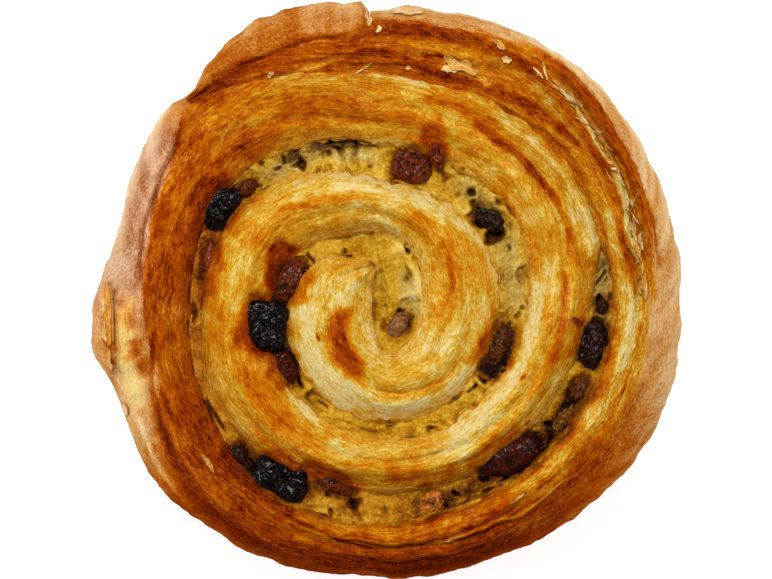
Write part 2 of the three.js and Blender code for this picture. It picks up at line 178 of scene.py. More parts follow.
# Marks of the bake along the turns, and a few of painted shade: from angle, to angle, radii at even steps,
# half the width, and how much browner (below 0: paler). These angles don't count on from turn to turn.
browned = [
    # first turn
    (100, 146, (8, 10.5, 11), 3.4, 0.12), (-15, 95, (9.3, 10.6, 12, 13.4, 14.7, 15.4, 16.2, 16.9), 3, 0.26),
    (8, 45, (11.2, 12.3, 14.3), 0.8, 0.22), (15, 60, (15.2, 17.3, 18.2), 1.5, 0.14),
    (178, 256, (8, 9.3, 10.6, 11.5, 12.5, 13.6, 15.4), 3, 0.7),
    (165, 265, (14, 15.3, 16.7, 17.7, 18.2, 18.2, 18), 2.8, -0.2),
    (0, 60, (19.3, 20.1, 20.5, 20.1, 19.3), 1.3, -0.2), (255, 330, (14.9, 15.8, 15.8, 15.8), 2.6, 0.12),
    (240, 330, (19.3, 19.3, 19, 18.2), 1.3, -0.15), (318, 345, (17.1, 17.7, 17.1), 1.5, 0.3),
    (290, 380, (6.7, 6, 6, 6.3), 1.5, -0.1),
    # second turn
    (95, 145, (19.3, 20.8, 22.7, 25.1, 27.9), 1.5, 0.25), (100, 140, (22.3, 24.2, 26, 27.9), 1.5, -0.12),
    (146, 176, (21.5, 22.6, 21.5), 3, 0.42), (155, 185, (27.9, 29.8, 27.9), 2.2, -0.12),
    (185, 250, (29.8, 29.8, 28.8, 29.8, 30.7), 3.3, 0.15), (215, 240, (24.7, 25.1), 1.5, -0.25),
    (240, 280, (27.9, 27.9, 27), 1.9, -0.16), (265, 295, (30.7, 32.6, 33.5, 32.6), 2.6, 0.3),
    (285, 340, (26, 26, 26), 1.9, -0.18), (295, 345, (30.1, 30.7, 31.2), 1.5, 0.12),
    (335, 375, (31.2, 31.6, 32, 32), 1.3, 0.3), (325, 375, (26, 26.4, 26.8, 27.2), 1.7, -0.3),
    (10, 75, (34.6, 35.5, 36.1, 36.3, 36.6, 37.6), 1, 0.42), (10, 48, (37.9, 38.7, 39.1, 39.1), 1.5, -0.06),
    (28, 50, (27.5, 27.9, 27.9), 1.5, 0.15), (78, 108, (34.4, 34.6, 35.7), 1.9, 0.36),
    (152, 157, (24.3, 24.3), 0.4, 0.8), (201, 207, (15.1, 15.1), 0.45, 0.6), (330, 332, (28, 28), 0.4, 0.6),
    (318, 320, (33.6, 33.6), 0.5, 0.6), (55, 85, (38.3, 38.7, 39.1), 1.7, 0.3),
    (82, 98, (29.8, 30.1), 1.1, -0.25),
    # outer turn
    (88, 140, (38.1, 39.4, 40, 40), 3.3, 0.16), (98, 125, (43.2, 44.6, 46.5), 1.2, -0.2),
    (73, 97, (41.2, 41.8, 42.5, 43), 1, -0.22), (84, 104, (44.4, 44.3, 44.8, 45.4), 0.9, -0.2),
    (100, 120, (47.6, 46.7, 46.5, 47.5), 0.9, -0.3), (70, 102, (51, 51.3, 51.6, 52, 50.6), 1.9, 0.3),
    # Painted shade: both marks on the next line darken the foot of the overhanging outer end of the strip.
    (96, 128, (51.2, 51.5, 52.3, 53.4), 0.7, 0.4), (118, 136, (52.6, 53.5), 2, 0.3),
    (136, 178, left_edge, 0.8, 0.42), (138, 168, (44.8, 45.3, 45), 1.6, 0.14),
    (136, 168, (55.5, 55.9, 54.4, 53.4), 1, -0.55), (138, 172, (52.6, 52.4, 51.2, 50.6), 1.5, 0.12),
    (176, 204, (49.4, 50.2, 50.8), 2.6, -0.5), (181, 186, (49, 49.4), 0.8, 0.45),
    (187, 192, (48.6, 48.8), 0.6, 0.4), (176, 182, (51.6, 51.7), 0.6, 0.4),
    (190, 197, (50, 50.6), 0.5, 0.4), (180, 200, (54, 54.2), 1, 0.3),
    (202, 226, (52.4, 53, 52.6), 0.6, -0.3), (186, 197, (47.8, 48.4), 0.5, 0.3),
    (184, 222, (43.5, 46, 47.8, 49.2, 50.4), 0.9, 0.3), (180, 194, (52.5, 52.6), 0.6, 0.3),
    (200, 250, (48, 49.1, 49.8, 50.8, 51, 50.6), 1.5, 0.3), (245, 300, (48.7, 48.7, 48.4, 48), 1.9, 0.3),
    (250, 300, (46.5, 46.1, 45.8), 1.5, 0.15), (240, 345, (42.4, 42, 42, 42.4, 42.8), 1.5, -0.2),
    (300, 345, (47.6, 48, 48.7), 1.1, 0.12), (325, 365, (43.2, 43.9, 44.3, 44.3), 1.9, -0.24),
    # ridges and hollows at the upper right
    (5, 62, proud_ridge, 1, 0.32), (2, 62, proud_edge, 0.45, 0.35), (5, 57, torn_hollow, 1, -0.1),
    (2, 57, hollow_edge, 0.8, -0.42), (-2, 80, long_ridge, 1.2, 0.34), (46, 70, small_hollow, 1.9, -0.26),
    (45, 68, (46.7, 46.2, 45.7, 45.3, 45.5), 0.5, 0.25), (40, 79, low_ridge, 1.2, 0.3),
    (39, 48, (45.3, 45.2), 0.9, 0.35), (72, 102, top_ridge, 0.9, 0.3), (73, 84, (47, 46.8, 46.9), 0.5, 0.3),
    (70, 77, (45.8, 45.6), 1.3, -0.4), (15, 66, (39.4, 39.8, 40, 39.6, 39.4), 0.8, -0.12),
    # pale torn edges at the lower right
    (278, 321, (45.4, 45, 44.8, 45.6, 46, 46.4, 47.6), 0.7, -0.3),
    (236, 306, (49.2, 49.4, 49.2, 49.4, 49.2), 1.6, 0.28)]

# Hollows between the layers, and ridges (below 0): from angle, to angle, radii, half the width, depth. These
# angles run along the strip.
relief = [
    (1085, 1142, proud_ridge, 1.3, -1.5), (1085, 1137, torn_hollow, 1.1, 2.6),
    (1078, 1160, long_ridge, 1.5, -1.6), (1126, 1150, small_hollow, 1.9, 1.7),
    (1120, 1159, low_ridge, 1.3, -0.7),
    (1075, 1154, (40.5, 40.6, 40.7, 41.2, 42.1, 42, 41.1, 41.2), 1.5, 1.7),
    (735, 790, (38.8, 39.4, 39.8, 40, 39.7, 39.5, 39.3), 1.5, -0.8),
    (1164, 1183, (44.4, 44.3, 44.8, 45.4), 1.2, 1.5), (1152, 1182, top_ridge, 1.1, -0.8),
    (1180, 1200, (47.6, 46.7, 46.5, 47.5), 0.9, 0.7), (1150, 1182, (51, 51.3, 51.6, 52, 50.6), 1.9, -0.7),
    (968, 1062, (45.6, 44.8, 45, 46.4, 47.6), 1.7, 0.5), (533, 565, (24.6, 25, 24.6), 3.8, 2.2),
    (508, 531, (22.4, 22.6, 22.2), 2.6, 1.8), (599, 624, (34.8, 34.6, 34.8), 2.8, 2),
    (893, 918, (49.4, 50.4, 50.8), 3.4, 1.2), (386, 432, (17.4, 17, 17.6), 2.4, -0.5),
    (740, 790, (36.4, 36, 34.8), 1.8, -0.6), (196, 236, (13, 14, 15.2), 3, 0.5)]
# Finer ridges, grooves and cracks, in the same way.
fine_marks = [
    (1082, 1142, proud_edge, 0.5, 0.9), (1082, 1137, hollow_edge, 0.45, -0.5),
    (1125, 1148, (46.7, 46.2, 45.7, 45.3, 45.5), 0.45, -0.9), (1153, 1164, (47, 46.8, 46.9), 0.5, 1.1),
    (732, 805, (38, 38.6, 38.4, 38), 0.6, 0.6), (856, 898, left_edge, 0.6, 1),
    (1176, 1208, (51.2, 51.5, 52.3, 53.4), 0.6, 1), (1150, 1177, (41.2, 41.8, 42.5, 43), 0.8, -0.6),
    (904, 942, (43.5, 46, 47.8, 49.2, 50.4), 0.6, 0.9), (972, 1001, (44.6, 44.8, 44.6), 0.35, 0.8),
    (998, 1041, (45.8, 45.4, 45.2, 46, 46.4, 46.8, 48), 0.5, 0.7),
    (998, 1041, (45.2, 44.8, 44.6, 45.4, 45.8, 46.2, 47.4), 0.4, -0.6),
    (935, 1065, (44, 44.6, 44.2, 45.4, 45), 0.8, -0.5),
    (725, 790, (34.8, 36.3, 37.2, 37.2, 37.6), 0.5, 0.6), (900, 960, (41.4, 42, 42.6), 0.5, 0.5),
    (950, 1030, (48.2, 47.6, 48), 0.5, 0.7), (870, 930, (44.4, 43.8, 44.6), 0.5, 0.5),
    (956, 990, (43, 44.2, 46.6), 0.4, 0.8), (1050, 1078, (46.4, 46, 46.6), 0.4, 0.6),
    (880, 935, (46, 45.4, 46.2), 0.4, 0.6), (560, 640, (33.6, 34.4, 34), 0.5, 0.5),
    (640, 700, (31.6, 32.4, 33), 0.5, 0.5), (480, 560, (24.6, 25.6, 26.8), 0.5, 0.5),
    (330, 420, (12.6, 13.2, 14.6), 0.5, 0.5), (250, 330, (16, 16.6, 16.2), 0.5, 0.4),
    (800, 856, (42.8, 44.4, 47), 0.5, 0.7)]
# Grooves in the skin of the side, seen from above.
side_marks = [(893, 920, (52.4, 52.6, 52.4), 0.7, 2.2)]
# Where the skin has peeled away, like the browned marks, with the share that is gone.
peeled_skin = [(175, 205, (49.6, 50.4, 51.2), 2.8, 0.8)]

# Where the raisins lie, as dough and cream are scorched round them: angle, radius, length, width, thickness,
# turn in plan, and how far each stands out of the cream.
raisin_beds = [
    (510.3, 37.5, 9, 7.2, 6.4, 60, 1.8), (501, 34.8, 4, 2.6, 2.8, 40, 1.2),
    (189, 24.4, 9.4, 8.6, 6.8, 85, 2.3), (167, 19.4, 9.2, 6.2, 5.6, 62, 1.2),
    (210, 23, 6.8, 3.8, 4.6, 118, 1.2), (442, 26, 7.4, 5.8, 5.6, -10, 1.6),
    (434.2, 29.7, 6.2, 2.6, 3.4, 100, 2.6), (401, 24.4, 5.6, 3.8, 4.2, -25, 0.6),
    (339, 21.3, 10.6, 4.6, 5.2, 68, 0.3), (283, 4.2, 5.6, 4.4, 4.4, 60, -0.2),
    (708.8, 38.2, 8.8, 5.8, 5.6, 80, 1.8), (719.6, 39.2, 3, 2.4, 2.6, 80, 0.8),
    (696, 38.6, 5.2, 3.6, 4.2, 66, 0.7), (686, 38.3, 7.6, 2.8, 4.4, 54, 0.3),
    (667.5, 35.4, 12.6, 7.2, 6.4, 22, 3), (641, 37.7, 5.6, 4.6, 4.4, 20, 0.5),
    (597.2, 38.6, 10.4, 8, 7, -18, 2.3), (585.8, 40.6, 7, 3.6, 4.6, 116, 1.6),
    (611, 34.9, 8.4, 4.2, 4.6, -30, 1.3), (526.8, 35, 9.4, 2.8, 4, 82, 0.8)]


def curve(rows, angle, column=1):
    """The smooth line through a table's rows, read at any number of angles."""
    x, y = rows[:, 0], rows[:, column]
    i = np.clip(np.searchsorted(x, angle, side="right") - 1, 0, len(x) - 2)
    before, after = np.maximum(i - 1, 0), np.minimum(i + 2, len(x) - 1)
    run, rise = x[i + 1] - x[i], y[i + 1] - y[i]
    start = (y[i + 1] - y[before]) / (x[i + 1] - x[before]) * run
    end = (y[after] - y[i]) / (x[after] - x[i]) * run
    t = np.clip((angle - x[i]) / run, 0, 1)
    return y[i] + t * (start + t * (3 * rise - 2 * start - end + t * (start + end - 2 * rise)))


def ease(value, low, high):
    """0 below low, 1 above high, and smooth between them."""
    t = np.clip((value - low) / (high - low), 0, 1)
    return t * t * (3 - 2 * t)


def span(value, *ends):
    """Rises from 0 to 1 between two ends, and falls between the next two."""
    return ease(value, *ends[:2]) * (1 - ease(value, *ends[2:]))


def blend(start, end, share):
    return start + (end - start) * share


def sine(degrees):
    return np.sin(np.radians(degrees))


def turned(x, y, degrees):
    """A place in plan, turned anticlockwise."""
    turn = np.radians(degrees)
    return x * np.cos(turn) - y * np.sin(turn), x * np.sin(turn) + y * np.cos(turn)


def grain(x, y, seed):
    """Smooth random numbers from -1 to 1, about one wave to a unit of x and y."""
    i, j = np.floor(x).astype(np.int64), np.floor(y).astype(np.int64)

    def corner(p, q):
        mixed = (p * 374761393 + q * 668265263 + seed * 974634777) & 0x7FFFFFFF
        mixed = ((mixed ^ (mixed >> 13)) * 1274126177) & 0x7FFFFFFF
        return ((mixed ^ (mixed >> 16)) & 0xFFFF) / 32767.5 - 1

    u = ease(x - i, 0, 1)
    near, far = [blend(corner(i, row), corner(i + 1, row), u) for row in (j, j + 1)]
    return blend(near, far, ease(y - j, 0, 1))


def grains(x, y, *sizes):
    """Grain of several sizes: how much of each, its size along x and y, and its seed."""
    return sum(amount * grain(x / x_size, y / y_size, seed) for amount, x_size, y_size, seed in sizes)


def along_marks(marks, angle, radius, whole_turn=False):
    """The sum of a table of marks at each angle and radius."""
    total = np.zeros(np.broadcast(angle, radius).shape)
    for start, stop, radii, half_width, amount in marks:
        past = (angle - start) % 360 if whole_turn else angle - start
        along = past / (stop - start)
        middle = np.interp(along, np.linspace(0, 1, len(radii)), radii)
        ends = ease(np.minimum(along, 1 - along), 0, 0.2)
        total += amount * ends * (1 - ease(np.abs(radius - middle) / half_width, 0.2, 1.1))
    return total


def uneven(angle, radius):
    """The radius, wandering a little, so that marks aren't drawn with a ruler."""
    x, y = turned(radius, 0, angle)
    return radius + grains(x, y, (0.5, 5, 5, 5), (0.2, 1.7, 1.7, 6))


def from_raisins(x, y):
    """Rough distance from the nearest raisin's edge, in plan round the roll's centre."""
    nearest = np.full(np.broadcast(x, y).shape, 99.0)
    for at_angle, at_radius, length, breadth, _, turn, _ in raisin_beds:
        bed_x, bed_y = turned(at_radius, 0, at_angle)
        lengthwise, sideways = turned(x - bed_x, y - bed_y, -turn)
        away = (np.hypot(2 * lengthwise / length, 2 * sideways / breadth) - 1) * breadth / 2
        nearest = np.minimum(nearest, away)
    return nearest


def openness(angle):
    return ease(angle, outside_angle - 14, outside_angle + 8)


def inner_radius(angle):
    seam_below = curve(seam, angle - 360) + curve(seam, angle - 360, 2)
    return np.where(angle < pocket[-1, 0], curve(pocket, angle), seam_below)


def outer_radius(angle):
    at_seam = np.where(angle < outside_angle, curve(seam, angle) - curve(seam, angle, 2), seam[-1, 1])
    pressed_in = tail_press * ease(angle, tail_angle - 9, tail_angle)
    at_seam = np.maximum(at_seam, pocket[0, 1] + 0.1)
    return blend(at_seam, curve(outline, angle % 360), openness(angle)) - pressed_in


def stations(start, stop, step, radius_at):
    """Angles from start to stop, a step apart along a curve of known radius."""
    fine = np.linspace(start, stop, 4000)
    length = np.concatenate([[0], np.cumsum(np.radians(np.diff(fine)) * np.maximum(radius_at(fine[1:]), 6))])
    return np.interp(np.linspace(0, length[-1], round(length[-1] / step)), length, fine)


def seam_height(angle):
    """Height of both edges of dough at the seam outside this angle."""
    shut = 1 - ease(curve(seam, angle, 2), -0.3, 0.9)
    lower = np.minimum(curve(crest, angle), curve(crest, angle + 360))
    return lower - blend(seam_drop, closed_drop, shut)


def face_height(angle, across):
    """Height of the cut face. Across runs from 0 at the strip's inner edge to 1."""
    open_share = openness(angle)
    ridge = curve(crest, angle) - tip_drop * (1 - ease(angle, tongue_angle + 3.5, tongue_angle + 8))
    ridge_at = blend(0.5, 0.36, open_share)
    past_pocket = ease(angle, pocket[-1, 0], pocket[-1, 0] + 45)
    inner_edge = blend(ridge - seam_drop, seam_height(angle - 360), past_pocket)
    outer_edge = blend(seam_height(np.minimum(angle, outside_angle)), ridge - shoulder_drop, open_share)
    thin = np.clip((outer_radius(angle) - inner_radius(angle) - 2) / 8, 0.03, 1) ** 1.3
    inside = thin * (ridge - inner_edge) * np.clip(1 - across / ridge_at, 0, 1) ** fall_power
    outside = thin * (ridge - outer_edge) * np.clip((across - ridge_at) / (1 - ridge_at), 0, 1) ** fall_power
    drift = 0.35 * sine(angle * 0.7) + 0.2 * sine(angle * 1.9 + 40)
    ridges = np.sin(2 * np.pi * (3.1 * across + drift)) + 0.5 * sine(angle * 3.3)
    return ridge - inside - outside + layer_relief * ridges * np.sin(np.pi * across)


def sheet_edges(along, across_mm, spacing, seed):
    """Height and crevices, from 0 to 1, of stacked layers that climb slowly and break off sharply."""
    drift = grains(along, across_mm, (0.9, 40, 4 * spacing, seed), (0.12, 9, spacing, seed + 1))
    place = across_mm / spacing + drift
    layer = np.floor(place)
    share = place - layer
    tall = 0.55 + 0.45 * grain(along / 13, layer, seed + 2)
    climb = np.where(share < 0.78, (np.clip(share, 0, 1) / 0.78) ** 1.4, (1 - share) / 0.22)
    return tall * climb, tall * np.clip(1 - np.abs(share - 0.06) / 0.14, 0, 1)


def new_piece(name, shape):
    """A smooth object made from a bmesh, which is freed."""
    for face in shape.faces:
        face.smooth = True
    mesh = bpy.data.meshes.new(name)
    shape.to_mesh(mesh)
    shape.free()
    piece = bpy.data.objects.new(name, mesh)
    link(piece)
    return piece


def wound_mesh(name, angles, radius, height, facts):
    """A grid bent onto closed sections along the spiral, and capped at its ends."""
    rows, columns = radius.shape
    grid = bmesh.new()
    bmesh.ops.create_grid(grid, x_segments=columns - 1, y_segments=rows - 1, size=1)
    draft = bpy.data.meshes.new("draft")
    grid.to_mesh(draft)
    x, y = turned(radius, 0, angles)
    places = np.stack([roll_centre[0] + x, roll_centre[1] + y, height], axis=-1) * MM
    draft.vertices.foreach_set("co", places.astype(np.float32).ravel())
    for fact, values in facts.items():
        layer = draft.attributes.new(fact, "FLOAT_VECTOR", "POINT")
        layer.data.foreach_set("vector", np.stack(values, axis=-1).astype(np.float32).ravel())
    grid.clear()
    grid.from_mesh(draft)
    bpy.data.meshes.remove(draft)
    bmesh.ops.remove_doubles(grid, verts=grid.verts, dist=1e-6)
    bmesh.ops.holes_fill(grid, edges=[edge for edge in grid.edges if edge.is_boundary], sides=0)
    bmesh.ops.recalc_face_normals(grid, faces=grid.faces)
    return new_piece(name, grid)


angle = stations(tongue_angle, tail_angle, dough_step, outer_radius)[:, None]
bearing = angle % 360
open_share = openness(angle)
inner, outer = inner_radius(angle), outer_radius(angle)
middle = 0.5 * (inner + outer)
along = np.cumsum(np.radians(np.diff(angle, axis=0, prepend=angle[:1])) * middle, axis=0)
outer = outer + open_share * 0.3 * grain(along / 3.1, 0, 15)
outer = np.maximum(outer, inner + 0.1)
shoulder = blend(outer, np.minimum(curve(shoulder_line, angle), outer - 0.5), open_share)
across = np.linspace(0, 1, face_columns + 1)[None, :]
width = (shoulder - inner) * across
inner_rag = grains(along, 0, (0.4, 1.5, 1, 11), (0.3, 3.7, 1, 12)) * ease(inner, 4, 10)
outer_rag = grains(along, 0, (0.4, 1.7, 1, 13), (0.3, 4.3, 1, 14)) * (1 - open_share)
face_radius = blend(inner, shoulder, across) + inner_rag * np.exp(-width / 0.6) * (1 - across) ** 2
face_radius = face_radius + outer_rag * np.exp((width - width[:, -1:]) / 0.6) * across ** 2
inner, outer = face_radius[:, :1], np.where(open_share > 0, outer, face_radius[:, -1:])
shoulder = face_radius[:, -1:]
torn = blend(0.42, 1, ease(face_radius, 28, 46))

edge_fade = np.sin(np.pi * np.clip(across, 0.02, 0.98)) ** 0.5
flow = width + edge_fade * grains(along, width, (1.5, 14, 7, 61), (0.45, 4.5, 2.2, 62))
coarse, coarse_crevice_shade = sheet_edges(along, flow + 40, 2.7, 20)
layers, layer_crevice_shade = sheet_edges(along, flow + 40, 1.05, 24)
threads = np.abs(grain(along / 3.5, flow / 0.75, 28)) + 0.6 * np.abs(grain(along / 2, flow / 0.42, 27)) - 0.5
soft = grain(along / 9, flow / 2.4, 29)
pitted = grain(along / 1.4, flow / 0.8, 36)
fine_relief = edge_fade * (
    torn * (0.5 * coarse + 0.25 * layers - 0.4) + 0.14 * threads + 0.2 * soft + 0.07 * pitted)
hollowed, fine_hollows = [
    along_marks(marks, angle, uneven(angle, face_radius)) for marks in (relief, fine_marks)]
hollowed = hollowed + fine_hollows * (1 + 0.3 * grain(along / 3, face_radius, 9))
face_z = face_height(angle, across) - hollowed + fine_relief

down = np.linspace(0, 1, side_columns + 1)[None, 1:]
side_top = face_z[:, -1:]
# The side swells at the strip's outer end, and just past it at the left.
swelling = 1.3 * span(angle, 1172, 1180, 1206, 1215) + 0.9 * span(angle, 858, 866, 886, 900)
side_z = side_top * (1 - down) + swelling * np.sin(np.pi * np.clip(down / 0.4, 0, 1))
above = side_z > belly_height
off = np.clip(np.abs(side_z - belly_height) / np.where(above, side_top - belly_height, belly_height), 0, 1)
side_inset = np.where(above, outer - shoulder, foot_inset * open_share) * off ** belly_power
blisters = grains(along, side_z, (0.25, 2.2, 1.8, 31), (0.14, 0.9, 0.8, 32))
side_radius = outer - side_inset + open_share * blisters * np.sin(np.pi * down)
side_z = side_z - along_marks(side_marks, angle, side_radius) * (down < 0.5)
rough_skin = 0.12 + 0.3 * ease(angle, 1165, 1176)
pimples = grains(along, side_radius, (1, 0.9, 0.9, 64), (0.6, 2.4, 2.4, 65))
side_z = side_z + rough_skin * open_share * pimples * np.sin(np.pi * np.clip(down * 1.6, 0, 1))
side_z = np.where((open_share <= 0) & (down < 1), side_top, side_z)
foot = outer - foot_inset * open_share
base_radius = [blend(foot, inner, share) for share in (1 / 3, 2 / 3, 1)]
none = 0 * inner
dough_radius = np.hstack([inner, inner, face_radius, side_radius] + base_radius)
dough_z = np.hstack([none, 0.5 * face_z[:, :1], face_z, side_z] + [none] * 3)

plan_x, plan_y = turned(dough_radius, 0, angle)
here_x, here_y = roll_centre[0] + plan_x, roll_centre[1] + plan_y
on_top = ease(dough_z + 2.5 * grain(along / 5, dough_radius / 3, 71), 9, 19)
wandering = uneven(angle, dough_radius)
strokes = on_top * along_marks(browned, angle, wandering, True)
patches = grains(here_x, here_y, (0.11, 4.5, 4.5, 37), (0.09, 1.8, 1.8, 38), (0.07, 0.8, 0.8, 66))
brown = curve(face_bake, angle) + patches + strokes * (1 + 0.25 * grain(along / 7, dough_radius / 1.5, 10))
beside = from_raisins(plan_x, plan_y) + 0.9 * grain(here_x / 2, here_y / 2, 39)
brown = brown + scorch * (1 - ease(beside, 0, 2))
face = slice(2, face_columns + 3)
# Ridge tops of the layers bake browner; the crevices at the foot of each break are darkened as painted shade.
brown[:, face] += edge_fade * torn * (0.2 * (coarse - 0.35) + 0.18 * (layers - 0.35) + 0.24 * coarse_crevice_shade)
brown[:, face] += edge_fade * (0.1 * layer_crevice_shade - 0.07 * threads + 0.08 * soft - 0.05 * pitted)
# Painted shade: the carved hollows are browner the deeper they are.
brown[:, face] += 0.16 * np.clip(hollowed - 0.2, 0, 0.8) * edge_fade

skin = np.ones_like(dough_radius)
skin[:, :2] = 0
skin[:, face] = ease(width - width[:, -1:] + 0.9 * grain(along / 5, width / 1.2, 33), -1.3, 0.1)
skin = skin * open_share
mottle = 0.6 * (grain(here_x / 1.3, here_y / 1.3 + dough_z / 1.5, 34)
                + grain(here_x / 3.5, here_y / 3.5 + dough_z / 4, 35))
rim = ease(dough_radius, shoulder + 1.5, outer - 0.3) * open_share
brown = blend(brown, curve(side_bake, bearing) + skin_mottle * mottle + strokes - 0.12 * rim, skin)
brown = np.where(brown > near_black, near_black + 0.4 * np.tanh((brown - near_black) / 0.4), brown)
brown = np.maximum(brown, palest)
peeled = on_top * along_marks(peeled_skin, angle, wandering, True)
layered_rim = span(bearing, 205, 222, 318, 340)
skin_shown = skin * (1 - 0.8 * layered_rim) * (1 - peeled)
soaked = np.zeros_like(dough_radius)
seam_open = ease(curve(seam, angle, 2), 0.2, 1.2) * (1 - open_share)
seam_open_inside = np.where(angle < 465, 1, ease(curve(seam, angle - 360, 2), 0.2, 1.2))
patchy = 0.7 * grain(along / 6, width / 1.6, 7)
baked_edges = (angle > 480) * span(bearing, 138, 150, 228, 250)
soaked[:, face] = np.maximum(
    (1 - ease(width + patchy, 0.2, 1.7)) * seam_open_inside,
    (1 - ease(width[:, -1:] - width + patchy, 0.2, 1.7)) * seam_open)
soaked = soaked * (1 - 0.75 * baked_edges)
widths = np.hstack([none, none, flow, width[:, -1:] + (side_top - side_z)] + [width[:, -1:] + side_top] * 3)
over_belly = down[0] < 0.55
strip_angle, strip_top = angle[:, 0], np.hstack([face_z, side_z[:, over_belly]])
strip_radius = np.maximum.accumulate(np.hstack([face_radius, side_radius[:, over_belly]]), axis=1)


def dough_top(at_angle, at_radius):
    """Height of the dough's upper surface at angles along the strip and radii."""
    row = np.round(np.interp(at_angle, strip_angle, np.arange(len(strip_angle)))).astype(int)
    row, at_radius = np.broadcast_arrays(row, at_radius)
    flat = [np.interp(r, strip_radius[i], strip_top[i]) for i, r in zip(row.ravel(), at_radius.ravel())]
    return np.array(flat).reshape(row.shape)


fray = np.hstack([none, none, torn, 0 * side_radius] + [none] * 3)
# Painted sheen: the skin at the left turns paler and greyer, standing in for white sheen off its glossy side.
painted_sheen = span(bearing, 136, 146, 172, 190) * skin
dough = wound_mesh("baked_dough", angle, dough_radius, dough_z, {
    "surface": (fray, painted_sheen, 0 * painted_sheen),
    "strip": (np.broadcast_to(along, widths.shape), widths, dough_z),
    "bake": (brown, skin_shown, soaked)})


def srgb(*colour):
    """A screen's colour, from 0 to 255, as Blender takes it."""
    shares = [value / 255 for value in colour]
    return (*[share / 12.92 if share <= 0.04045 else ((share + 0.055) / 1.055) ** 2.4 for share in shares], 1)


class Signal:
    """An output in a material's node tree. Sums and products of signals are nodes too."""

    def __init__(self, socket):
        self.socket = socket

    def feed(self, kind, inputs, output=0, **settings):
        """A new node in the same tree, its inputs given as values or signals."""
        made = self.socket.id_data.nodes.new("ShaderNode" + kind)
        for key, value in settings.items():
            setattr(made, key, value)
        for place, value in inputs.items():
            plug(made.inputs[place], value)
        return Signal(made.outputs[output])

    def math(self, operation, other=0):
        return self.feed("Math", {0: self, 1: other}, operation=operation)

    __add__ = partialmethod(math, "ADD")
    __sub__ = partialmethod(math, "SUBTRACT")
    __mul__ = partialmethod(math, "MULTIPLY")
    at_least = partialmethod(math, "MAXIMUM")
    at_most = partialmethod(math, "MINIMUM")

    def __rsub__(self, other):
        return self.feed("Math", {0: other, 1: self}, operation="SUBTRACT")

    def mixed(self, first, second):
        """The first colour where this signal is 0, and the second where it is 1."""
        return self.feed("Mix", {"Factor": self, 6: first, 7: second}, 2, data_type="RGBA")

    def attribute(self, name, output="Vector"):
        return self.feed("Attribute", {}, output, attribute_name=name)

    def split(self):
        """The three components of a vector."""
        return [Signal(output) for output in self.feed("SeparateXYZ", {0: self}).socket.node.outputs]

    def ramp(self, *stops):
        """A colour ramp, with stops given as place, red, green and blue."""
        colours = self.feed("ValToRGB", {"Fac": self})
        elements = colours.socket.node.color_ramp.elements
        while len(elements) < len(stops):
            elements.new(0.5)
        for element, (place, *colour) in zip(elements, stops):
            element.position = place
            element.color = srgb(*colour)
        return colours

    def noise(self, stretch, detail, roughness=0.6, output="Fac"):
        """Noise of one wave to a unit of the stretched coordinates."""
        scale = (stretch,) * 3 if isinstance(stretch, int) else stretch
        scaled = self.feed("Mapping", {"Vector": self, "Scale": scale})
        inputs = {"Vector": scaled, "Scale": 1, "Detail": detail, "Roughness": roughness}
        return self.feed("TexNoise", inputs, output)

    def creases(self, stretch, detail):
        """1 in thin wandering creases, and 0 elsewhere."""
        off = (self.noise(stretch, detail) - 0.5).math("ABSOLUTE")
        return (1 - off * 9).at_least(0)


def plug(socket, value):
    """Feeds a socket from a signal, or sets it to a value."""
    if isinstance(value, Signal):
        socket.id_data.links.new(value.socket, socket)
    else:
        socket.default_value = value


def new_material(name):
    """A material, its shader, and the piece's own coordinates."""
    material = bpy.data.materials.new(name)
    material.use_nodes = True
    nodes = material.node_tree.nodes
    return material, nodes["Principled BSDF"], Signal(nodes.new("ShaderNodeTexCoord").outputs["Object"])


def coat(shader, colour, roughness, specular, height=None, strength=0, distance=0):
    """Sets a shader's colour and gloss, and its bump where it has a height."""
    plug(shader.inputs["Base Color"], colour)
    plug(shader.inputs["Roughness"], roughness)
    shader.inputs["Specular IOR Level"].default_value = specular
    if height:
        bump = height.feed("Bump", {"Strength": strength, "Distance": distance, "Height": height})
        plug(shader.inputs["Normal"], bump)


crust, shader, place = new_material("baked_crust")
strip = place.attribute("strip")
baked_share, skin_share, soaked_share = place.attribute("bake").split()
torn_share, painted_sheen_share, _ = place.attribute("surface").split()
# The strands of the cut layers wander a little, each a fine pale ridge between darker creases. The ridges are
# pale partly as the thin edges of layers and partly as painted highlight.
wander = strip.noise((0.3, 0.9, 0.3), 2, 0.5, "Color")
strand_place = strip.feed("VectorMath", {0: wander, 1: (1.5, 0.9, 0.4), 2: strip}, operation="MULTIPLY_ADD")
strands = strand_place.creases((0.3, 2.1, 0.5), 3)
fibres = strand_place.creases((0.9, 5.5, 1.5), 3)
streaks = strand_place.noise((0.24, 1.2, 0.5), 7, 0.75)
specks = place.noise(1500, 4, 0.75)
# Strands show most on the outer turn's cut layers, and least on the side.
cut_share = (torn_share * 0.45 + 0.4) * (1 - skin_share * 0.5)
shift = (specks - 0.5) * 0.75
